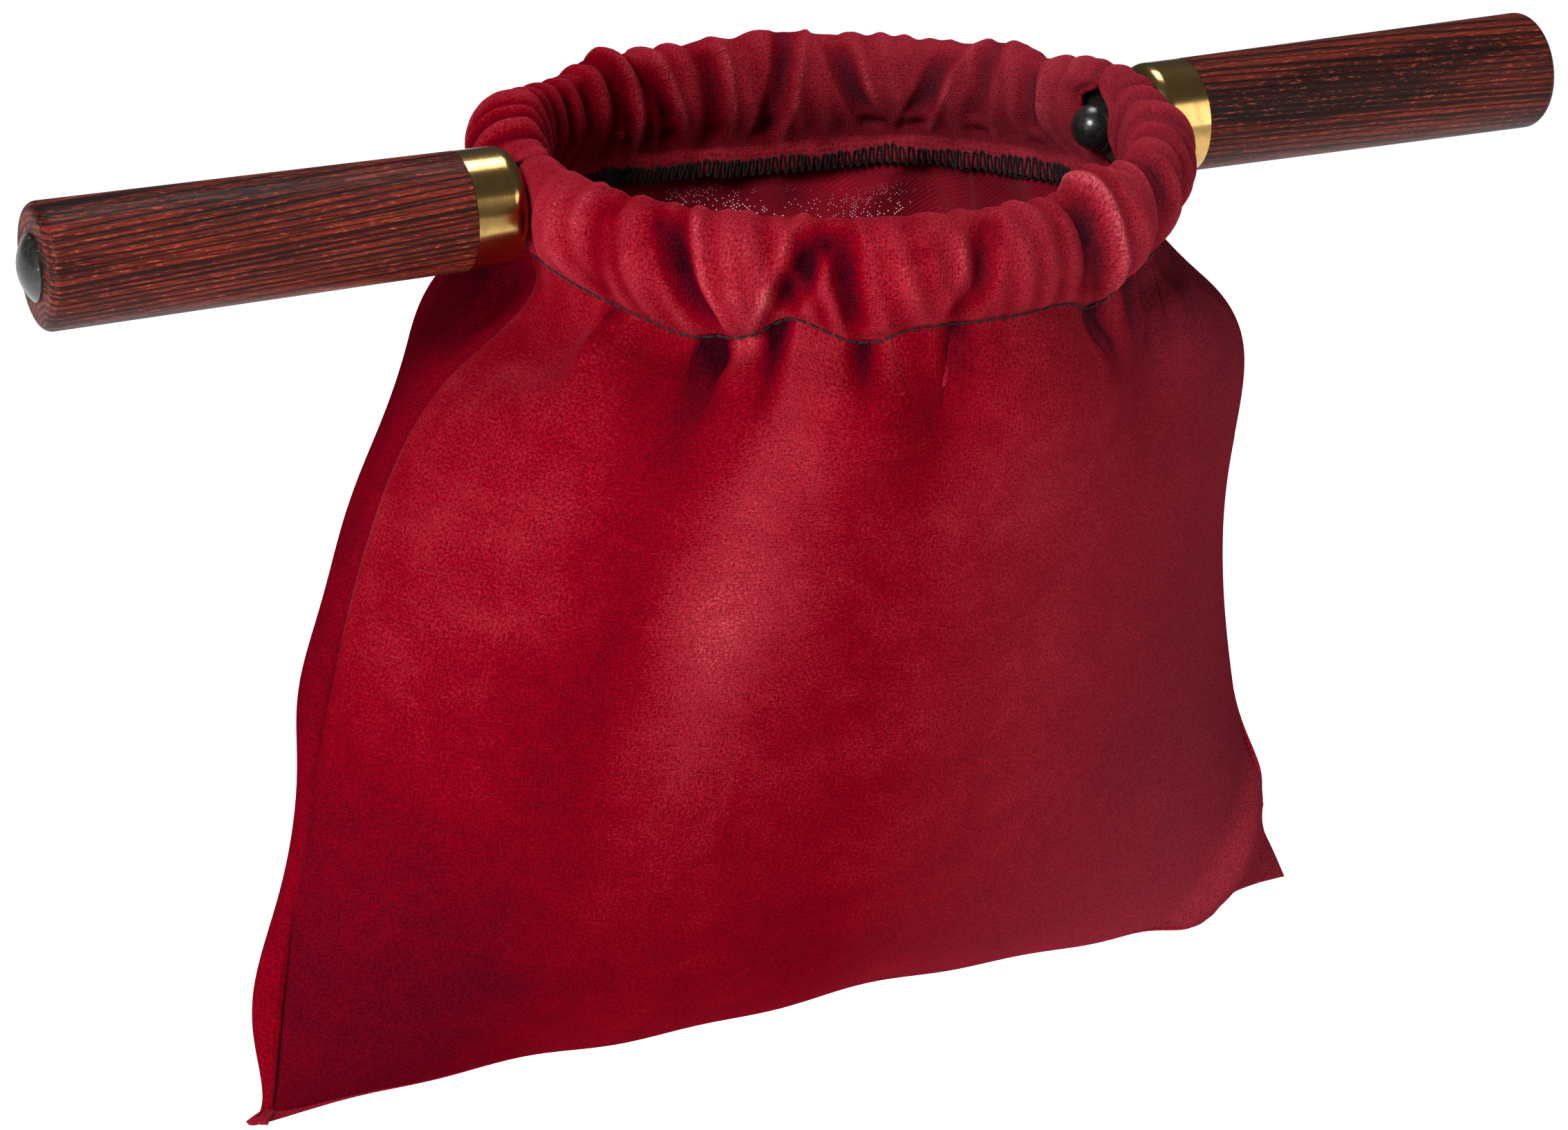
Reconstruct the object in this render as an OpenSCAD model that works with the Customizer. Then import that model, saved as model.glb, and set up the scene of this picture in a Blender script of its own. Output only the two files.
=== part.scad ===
// A two-handled offering bag. A flat steel hoop holds the mouth of a velvet bag open, and a turned
// wooden handle with a brass ferrule is bolted to the hoop at each end of one diameter.
// The origin is the centre of the hoop. X runs along the handles, and the bag hangs down -Z.

/* [Hoop] */
// Outside diameter of the steel hoop
hoop_d = 148.8; // [144:0.2:150]
// Height of the flat band
hoop_h = 15.9; // [12:0.1:16]
// Thickness of the band
hoop_t = 2.4; // [2:0.1:2.6]

/* [Bag] */
// Depth of the bag below the handles' axis
bag_depth = 219; // [180:1:260]
// Width of the bag along its bottom seam
bag_width = 286; // [220:1:340]
// Thickness of the velvet
cloth_t = 1.6; // [1:0.1:1.6]
// Outside diameter of the gathered casing that wraps the hoop
casing_d = 159.2; // [159:0.1:159.6]
// Depth of the topstitched line that closes the casing
stitch_z = 15; // [14.5:0.1:16]
// Height of the band of overlock thread on the hem's raw edge
overlock_h = 4.6; // [3:0.1:5]
// Width of the sewn allowances inside the seams
seam_w = 9; // [6:0.5:12]
// Diameter of the sewing thread
thread_d = 0.6; // [0.3:0.05:0.7]

/* [Handles] */
// Distance from the hoop's centre to the ferrule's inner face
ferrule_x = 80.2; // [80:0.1:84]
// Length of the ferrule
ferrule_l = 13.1; // [10:0.1:18]
// Brass wall of the ferrule
ferrule_t = 0.6; // [0.4:0.1:1]
// Rounding of the ferrule's inner edge
ferrule_r = 4; // [2:0.1:5]
// Length of bare wood from the ferrule to the end
grip_l = 97.9; // [80:0.1:130]
// Diameter of the wood where it meets the ferrule
grip_neck_d = 27.2; // [26:0.1:28]
// Diameter of the wood at its outer end
grip_end_d = 28.6; // [28:0.1:32]
// Rounding of the wood's outer edge
grip_end_r = 2.4; // [1:0.1:4]

/* [Hardware] */
// Diameter of the bolt's shank
bolt_d = 6.35; // [6:0.05:6.5]
// Diameter of the bolt's domed head
head_d = 15.1; // [13:0.1:17]
// Height of the domed head
head_h = 3.5; // [3:0.1:4.5]
// Depth of the square neck under the head
neck_l = 3.2; // [2.5:0.1:4]
// Diameter of the dome nut
nut_d = 11.1; // [10.5:0.1:12]
// Diameter of the split lock washer
washer_d = 12.4; // [11:0.1:12.6]
// Thickness of the split lock washer
washer_t = 1.6; // [1.2:0.1:1.8]

/* [Hidden] */
$fn = 96;

velvet = "#a51e36";
thread = "#1b1516";
wood = "#4a1f18";
brass = "#b59a55";
steel = "#22201f";

// Clearances: around the bolt in wood and nut, around it in the hoop, and beside moving faces
loose = 0.2;
running = 0.05;
apart = 0.3;

hoop_ro = hoop_d / 2;
hoop_ri = hoop_ro - hoop_t;
grip_x = ferrule_x + ferrule_l;
end_x = grip_x + grip_l;
washer_x = hoop_ri - 2 * apart;
nut_x = washer_x - washer_t;

// The casing's wall at its fullest, at the stitched line, and over the top of the hoop
casing_ro = casing_d / 2;
waist_r = casing_ro - 1.4;
rim_z = hoop_h / 2 + apart + cloth_t;
mouth_r = hoop_ri - apart - cloth_t;
hem_ri = mouth_r + 3.8;
hem_z = -stitch_z - 5.6;

// Half of the space between the two panels where they meet at a seam, and the side opening of
// the casing where the bolt goes through, as the angle that each wall stops short of the seam
seam_gap = 1.2;
wall_edge = asin(seam_gap / waist_r);
casing_edge = asin(5.6 / casing_ro);
hem_edge = asin(8 / mouth_r);

// Number of facets across a panel, and of rings down it
across = 32;
down = 13;

function blend(s) = let (b = min(1, s / 0.3)) b * b * (3 - 2 * b);
function half_width(s) = waist_r + (bag_width / 2 - waist_r) * pow(s, 0.58);
function half_depth(s) = waist_r * (1 - pow(s, 1.4));
function wall_z(s) = -stitch_z - s * (bag_depth - stitch_z);
function share(i) = pow(i / down, 1.5);

// A ring is [half width, half depth, height, pointedness, shift, edge angle]. The bag's plan is a
// circle at the hoop and turns into a pointed lens, and then a flat line, towards the bottom.
function outer_ring(s) =
    [half_width(s), half_depth(s), wall_z(s), blend(s), (seam_gap + cloth_t) * blend(s), wall_edge];
function inner_ring(s) =
    let (lap = cloth_t * (1 - blend(s)))
    [half_width(s) - lap, half_depth(s) - lap, wall_z(s), blend(s), seam_gap * blend(s), wall_edge];
function round_ring(r, z, edge) = [r, r, z, 0, 0, edge];

function ring_point(ring, turn) =
    let (a = turn * (90 - ring[5]))
    [ring[0] * sin(a), -ring[4] - ring[1] * pow(cos(a), 1 + ring[3]), ring[2]];

// One panel's cross-section as stations from the bottom seam up the wall, over the hoop and down
// the hem. Each station is [ring on the cloth's outer face, ring on its inner face].
panel_stations = concat(
    [for (i = [down:-1:1]) [outer_ring(share(i)), inner_ring(share(i))]],
    [for (s = [
        [waist_r, -stitch_z, waist_r - cloth_t, -stitch_z, (wall_edge + casing_edge) / 2],
        [casing_ro - 0.4, -0.7 * hoop_h, casing_ro - 0.4 - cloth_t, -0.7 * hoop_h, casing_edge],
        [casing_ro, -0.3 * hoop_h, casing_ro - cloth_t, -0.3 * hoop_h, casing_edge],
        [casing_ro, 0.1 * hoop_h, casing_ro - cloth_t, 0.1 * hoop_h, casing_edge],
        [casing_ro - 0.5, rim_z - 2.4, casing_ro - 2.1, rim_z - 3.4, casing_edge],
        [casing_ro - 1.8, rim_z - 0.6, casing_ro - 2.9, rim_z - 2.1, casing_edge],
        [casing_ro - 4, rim_z, casing_ro - 4.3, rim_z - cloth_t, casing_edge],
        [mouth_r + 2.2, rim_z, mouth_r + 2.5, rim_z - cloth_t, casing_edge],
        [mouth_r + 0.7, rim_z - 0.7, mouth_r + cloth_t, rim_z - cloth_t, hem_edge],
        [mouth_r, rim_z - 2.4, mouth_r + cloth_t, rim_z - 3, hem_edge],
        [mouth_r, -hoop_h / 2 - 0.6, mouth_r + cloth_t, -hoop_h / 2 - apart, hem_edge],
        [hem_ri, -stitch_z, hem_ri + cloth_t, -stitch_z + 0.8, hem_edge],
        [hem_ri, hem_z, hem_ri + cloth_t, hem_z, hem_edge]
    ]) [round_ring(s[0], s[1], s[4]), round_ring(s[2], s[3], s[4])]]
);

// A closed solid through the stations' rings, with a ladder of faces across each side edge
module loft(stations) {
    m = len(stations);
    n = 2 * m;
    rings = [for (i = [0:n - 1]) i < m ? stations[i][0] : stations[n - 1 - i][1]];
    last = across * n;
    polyhedron(
        [for (j = [0:across], ring = rings) ring_point(ring, 2 * j / across - 1)],
        concat(
            [for (j = [0:across - 1], i = [0:n - 1]) let (k = (i + 1) % n)
                [j * n + i, j * n + k, (j + 1) * n + k, (j + 1) * n + i]],
            [for (i = [0:m - 2]) [n - 1 - i, n - 2 - i, i + 1, i]],
            [for (i = [0:m - 2]) [last + i, last + i + 1, last + n - 2 - i, last + n - 1 - i]]
        )
    );
}

// Sewn allowances down one side: a thin strip that follows the panels' edges
module side_strip() {
    t = seam_gap / 2;
    steps = [for (i = [1:down]) min(share(i), 1 - (seam_w + 1) / (bag_depth - stitch_z))];
    n = len(steps);
    polyhedron(
        [for (s = steps, y = [-t, t], inset = [apart, seam_w]) [half_width(s) - inset, y, wall_z(s)]],
        concat(
            [for (i = [0:n - 2], side = [[0, 1], [1, 3], [3, 2], [2, 0]])
                [4 * i + side[0], 4 * i + side[1], 4 * i + 4 + side[1], 4 * i + 4 + side[0]]],
            [[0, 2, 3, 1], [4 * n - 4, 4 * n - 3, 4 * n - 1, 4 * n - 2]]
        )
    );
}

// Half a turn of a ring about Z on the front side, short of the seams by the edge angle
module front_arc(edge) {
    rotate([0, 0, 180 + edge]) rotate_extrude(angle = 180 - 2 * edge) children();
}

module topstitch() {
    front_arc(wall_edge * 2) translate([waist_r + thread_d / 2 + 0.35, -stitch_z + thread_d / 2])
        circle(d = thread_d);
}

// Thread wrapped round the raw edge of the hem: a thin channel open at the top
module overlock() {
    t = 0.35;
    front_arc(hem_edge) difference() {
        translate([hem_ri - t - 0.15, hem_z - t - 0.1]) square([cloth_t + 2 * t + 0.25, overlock_h]);
        translate([hem_ri - 0.15, hem_z - 0.1]) square([cloth_t + 0.25, overlock_h]);
    }
}

// Turns a shape built along +Z to lie along +X
module lie_along_x() {
    rotate([0, 90, 0]) children();
}

// A half outline of a cup or plug from x0 to x1, rounded at its x0 end, for rotate_extrude
module plug_outline(r, x0, x1, round_r) {
    translate([0, x0]) square([r - round_r, x1 - x0]);
    translate([0, x0 + round_r]) square([r, x1 - x0 - round_r]);
    translate([r - round_r, x0 + round_r]) intersection() {
        circle(round_r);
        translate([0, -round_r]) square(round_r);
    }
}

module grip() {
    neck_r = grip_neck_d / 2;
    end_r = grip_end_d / 2;
    tenon_r = neck_r - ferrule_t - 0.1;
    lie_along_x() difference() {
        rotate_extrude() {
            plug_outline(tenon_r, ferrule_x + ferrule_t + 0.1, grip_x + 1, ferrule_r - ferrule_t);
            polygon([
                [0, grip_x + 0.1], [neck_r, grip_x + 0.1], [end_r, end_x - grip_end_r],
                [end_r - grip_end_r, end_x], [0, end_x]
            ]);
            translate([end_r - grip_end_r, end_x - grip_end_r]) circle(grip_end_r);
        }
        cylinder(h = end_x + 1, r = bolt_d / 2 + loose);
        translate([0, 0, end_x]) cube([bolt_d + loose, bolt_d + loose, 2 * neck_l + loose], center = true);
    }
}

module ferrule() {
    r = grip_neck_d / 2;
    lie_along_x() rotate_extrude() difference() {
        plug_outline(r, ferrule_x, grip_x, ferrule_r);
        plug_outline(r - ferrule_t, ferrule_x + ferrule_t, grip_x + 1, ferrule_r - ferrule_t);
        translate([0, ferrule_x - 1]) square([bolt_d / 2 + loose, ferrule_l]);
    }
}

// A carriage bolt: domed head outside, square neck in the wood, round shank to the nut
module bolt() {
    rim_h = 0.6;
    cap_h = head_h - rim_h;
    cap_r = (pow(head_d / 2, 2) + pow(cap_h, 2)) / (2 * cap_h);
    lie_along_x() {
        translate([0, 0, nut_x - 3.4]) cylinder(h = end_x - nut_x + 3.4, d = bolt_d);
        translate([0, 0, end_x - neck_l / 2]) cube([bolt_d, bolt_d, neck_l], center = true);
        translate([0, 0, end_x]) cylinder(h = rim_h, d = head_d);
        translate([0, 0, end_x + rim_h]) intersection() {
            translate([0, 0, cap_h - cap_r]) sphere(cap_r);
            cylinder(h = head_h, d = head_d);
        }
    }
}

// A round dome nut, blind on the side that faces into the bag
module dome_nut() {
    skirt = 0.8;
    lie_along_x() difference() {
        translate([0, 0, nut_x - skirt]) {
            cylinder(h = skirt, d = nut_d);
            intersection() {
                sphere(d = nut_d);
                translate([0, 0, -nut_d / 2]) cube([nut_d, nut_d, nut_d], center = true);
            }
        }
        translate([0, 0, nut_x - 3.9]) cylinder(h = 5, r = bolt_d / 2 + running);
    }
}

// A spring washer, split by one slanted cut
module lock_washer() {
    lie_along_x() translate([0, 0, nut_x]) difference() {
        cylinder(h = washer_t, d = washer_d);
        translate([0, 0, -1]) cylinder(h = washer_t + 2, r = bolt_d / 2 + loose);
        rotate([25, 0, 0]) translate([washer_d / 2, 0, 0])
            cube([washer_d, 0.9, washer_t * 4], center = true);
    }
}

module hoop() {
    color(steel) difference() {
        translate([0, 0, -hoop_h / 2]) cylinder(h = hoop_h, r = hoop_ro);
        translate([0, 0, -hoop_h / 2 - 1]) cylinder(h = hoop_h + 2, r = hoop_ri);
        rotate([0, 90, 0]) cylinder(h = hoop_d + 2, r = bolt_d / 2 + running, center = true);
    }
}

module front_panel() { color(velvet) loft(panel_stations); }
module back_panel() { color(velvet) mirror([0, 1, 0]) loft(panel_stations); }
module right_side_seam() { color(velvet) side_strip(); }
module left_side_seam() { color(velvet) mirror([1, 0, 0]) side_strip(); }
module bottom_seam() {
    color(velvet) translate([0, 0, -bag_depth + seam_w / 2 + apart])
        cube([bag_width - 1, 2 * (seam_gap - apart), seam_w], center = true);
}
module front_topstitch() { color(thread) topstitch(); }
module back_topstitch() { color(thread) mirror([0, 1, 0]) topstitch(); }
module front_overlock() { color(thread) overlock(); }
module back_overlock() { color(thread) mirror([0, 1, 0]) overlock(); }
module right_grip() { color(wood) grip(); }
module left_grip() { color(wood) mirror([1, 0, 0]) grip(); }
module right_ferrule() { color(brass) ferrule(); }
module left_ferrule() { color(brass) mirror([1, 0, 0]) ferrule(); }
module right_bolt() { color(steel) bolt(); }
module left_bolt() { color(steel) mirror([1, 0, 0]) bolt(); }
module right_dome_nut() { color(steel) dome_nut(); }
module left_dome_nut() { color(steel) mirror([1, 0, 0]) dome_nut(); }
module right_lock_washer() { color(steel) lock_washer(); }
module left_lock_washer() { color(steel) mirror([1, 0, 0]) lock_washer(); }

hoop();
front_panel();
back_panel();
left_side_seam();
right_side_seam();
bottom_seam();
front_topstitch();
back_topstitch();
front_overlock();
back_overlock();
left_grip();
right_grip();
left_ferrule();
right_ferrule();
left_bolt();
right_bolt();
left_dome_nut();
right_dome_nut();
left_lock_washer();
right_lock_washer();
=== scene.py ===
"""Looks of a two-handled velvet offering bag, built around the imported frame. Metres, row frame."""

import math

import bpy
import numpy as np
from mathutils import Matrix, Vector


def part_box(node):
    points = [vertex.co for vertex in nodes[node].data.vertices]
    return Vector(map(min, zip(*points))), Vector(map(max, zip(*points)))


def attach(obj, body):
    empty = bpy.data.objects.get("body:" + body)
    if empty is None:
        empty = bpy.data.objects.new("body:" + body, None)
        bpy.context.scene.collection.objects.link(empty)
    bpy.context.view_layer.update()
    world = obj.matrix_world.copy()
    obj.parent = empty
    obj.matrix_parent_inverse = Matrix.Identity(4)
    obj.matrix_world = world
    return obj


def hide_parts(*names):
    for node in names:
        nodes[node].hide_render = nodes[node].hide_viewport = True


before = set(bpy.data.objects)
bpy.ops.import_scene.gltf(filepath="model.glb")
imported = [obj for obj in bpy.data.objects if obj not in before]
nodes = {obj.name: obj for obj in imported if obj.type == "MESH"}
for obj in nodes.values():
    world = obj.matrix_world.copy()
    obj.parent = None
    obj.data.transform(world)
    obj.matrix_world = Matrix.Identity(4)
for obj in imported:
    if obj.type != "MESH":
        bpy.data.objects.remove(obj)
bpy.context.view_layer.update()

MM = 0.001


# ---------------------------------------------------------------- sizes taken from the frame
hoop_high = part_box("hoop")[1]
HOOP_OUT = hoop_high.x
HOOP_HALF = hoop_high.z
HOOP_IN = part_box("right_lock_washer")[1].x + 0.6 * MM
HOOP_MID = (HOOP_IN + HOOP_OUT) / 2
FERRULE_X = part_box("right_ferrule")[0].x

# ---------------------------------------------------------------- the cloth, as it was cut
PANEL_W = 0.288
WALL = 0.219
# The casing as the simulation has it, outside and inside the hoop
CASING_OUT = 0.0235
CASING_IN = 0.0235
HEM = 0.0056
# The finished casing is fuller than the simulated one: its length over the hoop, fold to fold
CASING_ROUND = 0.064
CLOTH_T = 1.1 * MM

COLS = 96
RING = 2 * COLS
STEP = PANEL_W / COLS
N_WALL = round(WALL / STEP)
N_OUT = round(CASING_OUT / STEP)
N_TOP = 2
N_IN = round(CASING_IN / STEP)
N_HEM = 2
ROW_STITCH = N_WALL
ROW_TOP = ROW_STITCH + N_OUT
ROW_HEM = ROW_STITCH + N_OUT + N_TOP + N_IN

WAIST_R = 77.2 * MM
STITCH_Z = -15.0 * MM
BOTTOM_Z = -219.0 * MM
RIM_Z = 10.0 * MM
INNER_R = 70.3 * MM
LAYER_GAP = 2.4 * MM
SIM_SCALE = 10.0

LEFT_FOOT = 147 * MM
RIGHT_FOOT = 137 * MM


# The casing's broad folds: degrees round the hoop, lean in degrees, and depth in mm where they are
# deepest. A front fold leans on its way up to the rim, a back fold on its way down inside
FRONT_FOLDS = [
    (205, 0, 2), (225, -8, 6), (235, 8, 6), (250, -5, 4), (265, 5, 3), (295, -8, 6), (305, 5, 5),
]
BACK_FOLDS = [
    (20, 0, 4), (30, 5, 4), (38, 12, 6), (66, -12, 6), (73, 5, 5), (92, -5, 3), (108, -12, 6), (117, -8, 5),
]
# A front fold is deepest at the outer stitches and a back fold at the inner ones: parts of the depth
# at the stitches, over the rim and at the inner stitches
FRONT_PROFILE = (1.0, 0.75, 0.5)
BACK_PROFILE = (0.4, 0.5, 1.0)
FOLD_WIDTH = 4.5
# Stretches of small close gathers: from and to in degrees, how many
CLOSE_GATHERS = [(122, 168, 7), (312, 360, 7)]
# Where the simulated gathers start to crease, in degrees
CREASES = [place for place, _, _ in FRONT_FOLDS + BACK_FOLDS]
CREASES += [place for start, stop, _ in CLOSE_GATHERS for place in np.linspace(start, stop, 4)]
# Where the stitches and the rim rise or dip, and where the casing stands out further: degrees,
# spread in degrees, mm
STITCH_WAVES = [
    (0, 20, 3), (80, 25, -4), (180, 15, 3), (222, 12, -4), (238, 4, 3), (250, 5, -3), (295, 5, -4),
]
RIM_WAVES = [(0, 15, 5), (30, 5, 3), (75, 5, 2), (115, 5, 3), (155, 18, 5), (295, 5, 4), (330, 20, 3)]
PUFFS = [
    (15, 9, 2), (158, 16, 5), (197, 8, 4), (213, 6, 4), (230, 4, 4),
    (243, 3, 2), (258, 6, 3), (275, 8, 2), (300, 5, 4), (338, 18, 4),
]


def smooth(a):
    """Smoothstep of a, held between 0 and 1."""
    a = np.clip(a, 0, 1)
    return a * a * (3 - 2 * a)


# ---------------------------------------------------------------- cloth simulation
def half_widths(down):
    """Half width of the hanging bag on its left and right, from the stitches (0) to the bottom (1)."""
    left = WAIST_R + (LEFT_FOOT - WAIST_R) * (down**0.48 + 0.04 * math.sin(math.pi * down))
    shoulder = 28 * (1 - math.exp(-down / 0.09)) + 6 * math.exp(-(((down - 0.2) / 0.09) ** 2))
    flare = (RIGHT_FOOT - WAIST_R - 28 * MM) * down**3
    return left, WAIST_R + shoulder * MM + flare


def half_section(z, front):
    """One panel's line at height z, from the right seam to the left seam."""
    down = (STITCH_Z - z) / (STITCH_Z - BOTTOM_Z)
    depth = WAIST_R * max(0.0, 1 - down**1.35) ** 0.6
    left, right = half_widths(max(down, 0.0))
    angle = np.linspace(0, math.pi, 400)
    c, s = np.cos(angle), np.maximum(np.sin(angle), 0)
    k = smooth((down - 0.02) / 0.15)
    x = (1 - k) * WAIST_R * c + k * np.where(c > 0, right, left) * c
    if not front:
        x -= 8 * MM * k * np.sin(math.pi * np.clip((math.pi - angle) / 0.7, 0, 1))
    y = depth * s ** (1 + 0.2 * k)
    return np.stack([x, -y if front else y], 1)


def even(line, n):
    """The line at n + 1 points spaced evenly along it, and its length."""
    along = np.r_[0, np.cumsum(np.linalg.norm(np.diff(line, axis=0), axis=1))]
    at = np.linspace(0, along[-1], n + 1)
    return np.stack([np.interp(at, along, line[:, k]) for k in range(line.shape[1])], 1), along[-1]


def section(z):
    """The whole bag's section at height z, back panel first, and the cloth's fullness in it."""
    back, a = even(half_section(z, False), COLS)
    front, b = even(half_section(z, True)[::-1], COLS)
    return np.r_[back[:-1], front[:-1]], max(1.0, 0.992 * 2 * PANEL_W / (a + b))


def ring(r, z):
    angle = 2 * np.pi * np.arange(RING) / RING
    return np.stack([r * np.cos(angle), r * np.sin(angle), np.full(RING, z)], 1)


def start_rows():
    """Rows of points from the bottom seam to the hem, and how much fuller than this the cloth is."""
    heights = np.linspace(STITCH_Z, BOTTOM_Z, 500)
    sections = [section(z) for z in heights]
    full = np.array([f for _, f in sections])
    depth = np.array([s[COLS // 2][1] for s, _ in sections])
    width = np.array([(s[0][0] - s[COLS][0]) / 2 for s, _ in sections])
    fall = np.diff(heights)
    step = 0.5 * (np.hypot(fall, np.diff(depth)) + np.hypot(fall, np.diff(width)))
    used = np.r_[0, np.cumsum(step * 0.5 * (full[1:] + full[:-1]))]
    levels = np.interp(np.linspace(0, used[-1], N_WALL + 1), used, heights)
    rows, fullness = [], []
    for z in levels[::-1]:
        s, f = section(z)
        rows.append(np.c_[s, np.full(RING, z)])
        fullness.append(f)
    waist_full = fullness[-1]
    for i in range(1, N_OUT + 1):
        k = i / N_OUT
        rows.append(ring(WAIST_R + MM * math.sin(math.pi * k), STITCH_Z + (RIM_Z - STITCH_Z) * k))
        fullness.append(waist_full)
    for r in np.linspace(WAIST_R, INNER_R, N_TOP + 1)[1:]:
        rows.append(ring(r, RIM_Z + 0.6 * MM))
        fullness.append(waist_full)
    for z in np.linspace(RIM_Z, STITCH_Z, N_IN + 1)[1:-1]:
        rows.append(ring(INNER_R, z))
        fullness.append(waist_full * 1.04)
    for i in range(1, N_HEM + 1):
        rows.append(ring(74.8 * MM, STITCH_Z - i * HEM / N_HEM / waist_full))
        fullness.append(waist_full)
    return np.array(rows), np.array(fullness)


def add_waves(rows):
    """Small waves with their creases where the gathers have theirs, so that the folds start there."""
    angle = 2 * np.pi * np.arange(RING) / RING
    out = np.stack([np.cos(angle), np.sin(angle), 0 * angle], 1)
    rng = np.random.default_rng(4)
    lean = rng.uniform(-0.6, 0.6, len(CREASES))
    for i in range(1, len(rows)):
        fade = max(0, 1 - max(0, ROW_STITCH - i) * STEP / 0.045)
        wave = np.ones(RING)
        for crease, slant in zip(CREASES, lean):
            at = math.radians(crease) + slant * (i - ROW_STITCH) * STEP / WAIST_R
            away = np.abs((angle - at + np.pi) % (2 * np.pi) - np.pi)
            wave -= 1.0 * np.exp(-((away / math.radians(4.5)) ** 2))
        w = 3.0 * MM * fade * wave
        if ROW_TOP + N_TOP < i < ROW_HEM:
            w = -0.6 * w
        rows[i] += out * w[:, None]
    return rows


def simulate_bag(frames=40):
    """Gathers a tube of cloth on the hoop and returns its rows of points, bottom seam to hem."""
    rows, fullness = start_rows()
    rows = add_waves(rows)
    index = -np.ones(rows.shape[:2], int)
    points, full = [], []
    for i in range(len(rows)):
        for j in range(RING):
            twin = (RING - j) % RING
            if i == 0 and twin < j:
                index[0, j] = index[0, twin]
                continue
            index[i, j] = len(points)
            points.append(rows[i, j] * SIM_SCALE)
            full.append(fullness[i])
    pairs = [(i, i + 1) for i in range(ROW_HEM - 1)] + [(ROW_HEM - 1, ROW_STITCH), (ROW_STITCH, ROW_HEM)]
    pairs += [(i, i + 1) for i in range(ROW_HEM, len(rows) - 1)]
    faces = []
    for a, b in pairs:
        for j in range(RING):
            k = (j + 1) % RING
            loop = (index[a, j], index[a, k], index[b, k], index[b, j])
            corners = list(dict.fromkeys(int(v) for v in loop))
            if len(corners) > 2:
                faces.append(corners)
    mesh = bpy.data.meshes.new("sim_bag")
    mesh.from_pydata([tuple(p) for p in points], [], faces)
    bag = bpy.data.objects.new("sim_bag", mesh)
    bpy.context.scene.collection.objects.link(bag)

    full = np.round(full, 5)
    most = float(full.max())
    group = bag.vertex_groups.new(name="fullness")
    for value in np.unique(full):
        group.add([int(v) for v in np.where(full == value)[0]], float((most - value) / (most - 1)), "REPLACE")
    goal = bag.vertex_groups.new(name="goal")
    for i in range(1, ROW_STITCH + 1):
        down = (ROW_STITCH - i) / ROW_STITCH
        goal.add([int(v) for v in index[i]], 0.45 * float(smooth((down - 0.15) / 0.5)), "REPLACE")
        for j in (0, COLS):
            goal.add([int(index[i, j])], 0.6 * float(smooth((down - 0.02) / 0.2)), "REPLACE")
    goal.add([int(v) for v in set(index[0])], 1.0, "REPLACE")
    for j in (0, COLS):
        for i in range(ROW_STITCH + 1, ROW_TOP + 1):
            goal.add([int(index[i, (j + d) % RING]) for d in (-1, 0, 1)], 1.0, "REPLACE")

    cloth = bag.modifiers.new("Cloth", "CLOTH")
    s = cloth.settings
    s.vertex_group_shrink = "fullness"
    s.shrink_min, s.shrink_max = 1 - most, 0.0
    s.vertex_group_mass = "goal"
    s.pin_stiffness = 5
    s.quality = 6
    s.mass = 0.02
    s.air_damping = 1.5
    s.tension_stiffness = s.compression_stiffness = 40
    s.shear_stiffness = 8
    s.bending_stiffness = 5
    s.bending_model = "ANGULAR"
    s.tension_damping = s.compression_damping = s.shear_damping = 5
    s.bending_damping = 0.5
    s.use_pressure = True
    s.uniform_pressure_force = 0.3
    c = cloth.collision_settings
    c.distance_min = 0.8 * MM * SIM_SCALE
    c.collision_quality = 3
    c.use_self_collision = False

    corners = [(HOOP_OUT, -HOOP_HALF), (HOOP_OUT, HOOP_HALF), (HOOP_IN, HOOP_HALF), (HOOP_IN, -HOOP_HALF)]
    n = 96
    around = [2 * math.pi * k / n for k in range(n)]
    hoop_points = [
        (r * math.cos(a) * SIM_SCALE, r * math.sin(a) * SIM_SCALE, z * SIM_SCALE)
        for a in around
        for r, z in corners
    ]
    hoop_faces = [
        (4 * k + q, 4 * ((k + 1) % n) + q, 4 * ((k + 1) % n) + (q + 1) % 4, 4 * k + (q + 1) % 4)
        for k in range(n)
        for q in range(4)
    ]
    hoop_mesh = bpy.data.meshes.new("sim_hoop")
    hoop_mesh.from_pydata(hoop_points, [], hoop_faces)
    hoop = bpy.data.objects.new("sim_hoop", hoop_mesh)
    bpy.context.scene.collection.objects.link(hoop)
    hoop.modifiers.new("Collision", "COLLISION")
    hoop.collision.thickness_outer = 0.8 * MM * SIM_SCALE
    hoop.collision.cloth_friction = 20

    scene = bpy.context.scene
    cloth.point_cache.frame_start = 1
    cloth.point_cache.frame_end = frames + 1
    for f in range(1, frames + 1):
        scene.frame_set(f)
    done = bag.evaluated_get(bpy.context.evaluated_depsgraph_get()).to_mesh()
    points = np.array([v.co for v in done.vertices]) / SIM_SCALE
    scene.frame_set(1)
    bpy.data.objects.remove(bag)
    bpy.data.objects.remove(hoop)
    return points[index]


# ---------------------------------------------------------------- mesh helpers
def finer(grid, m, axis):
    """Catmull-Rom points between the grid's own, m steps for each, along one axis."""
    g = np.moveaxis(grid, axis, 0)
    n = len(g)
    p = np.concatenate([[2 * g[0] - g[1]], g, [2 * g[-1] - g[-2]]])
    out = []
    for i in range(n - 1):
        a, b, c, d = p[i], p[i + 1], p[i + 2], p[i + 3]
        for q in range(m):
            t = q / m
            bend = 2 * a - 5 * b + 4 * c - d
            skew = 3 * b - a - 3 * c + d
            out.append(0.5 * (2 * b + (c - a) * t + bend * t**2 + skew * t**3))
    out.append(g[-1])
    return np.moveaxis(np.array(out), 0, axis)


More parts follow.
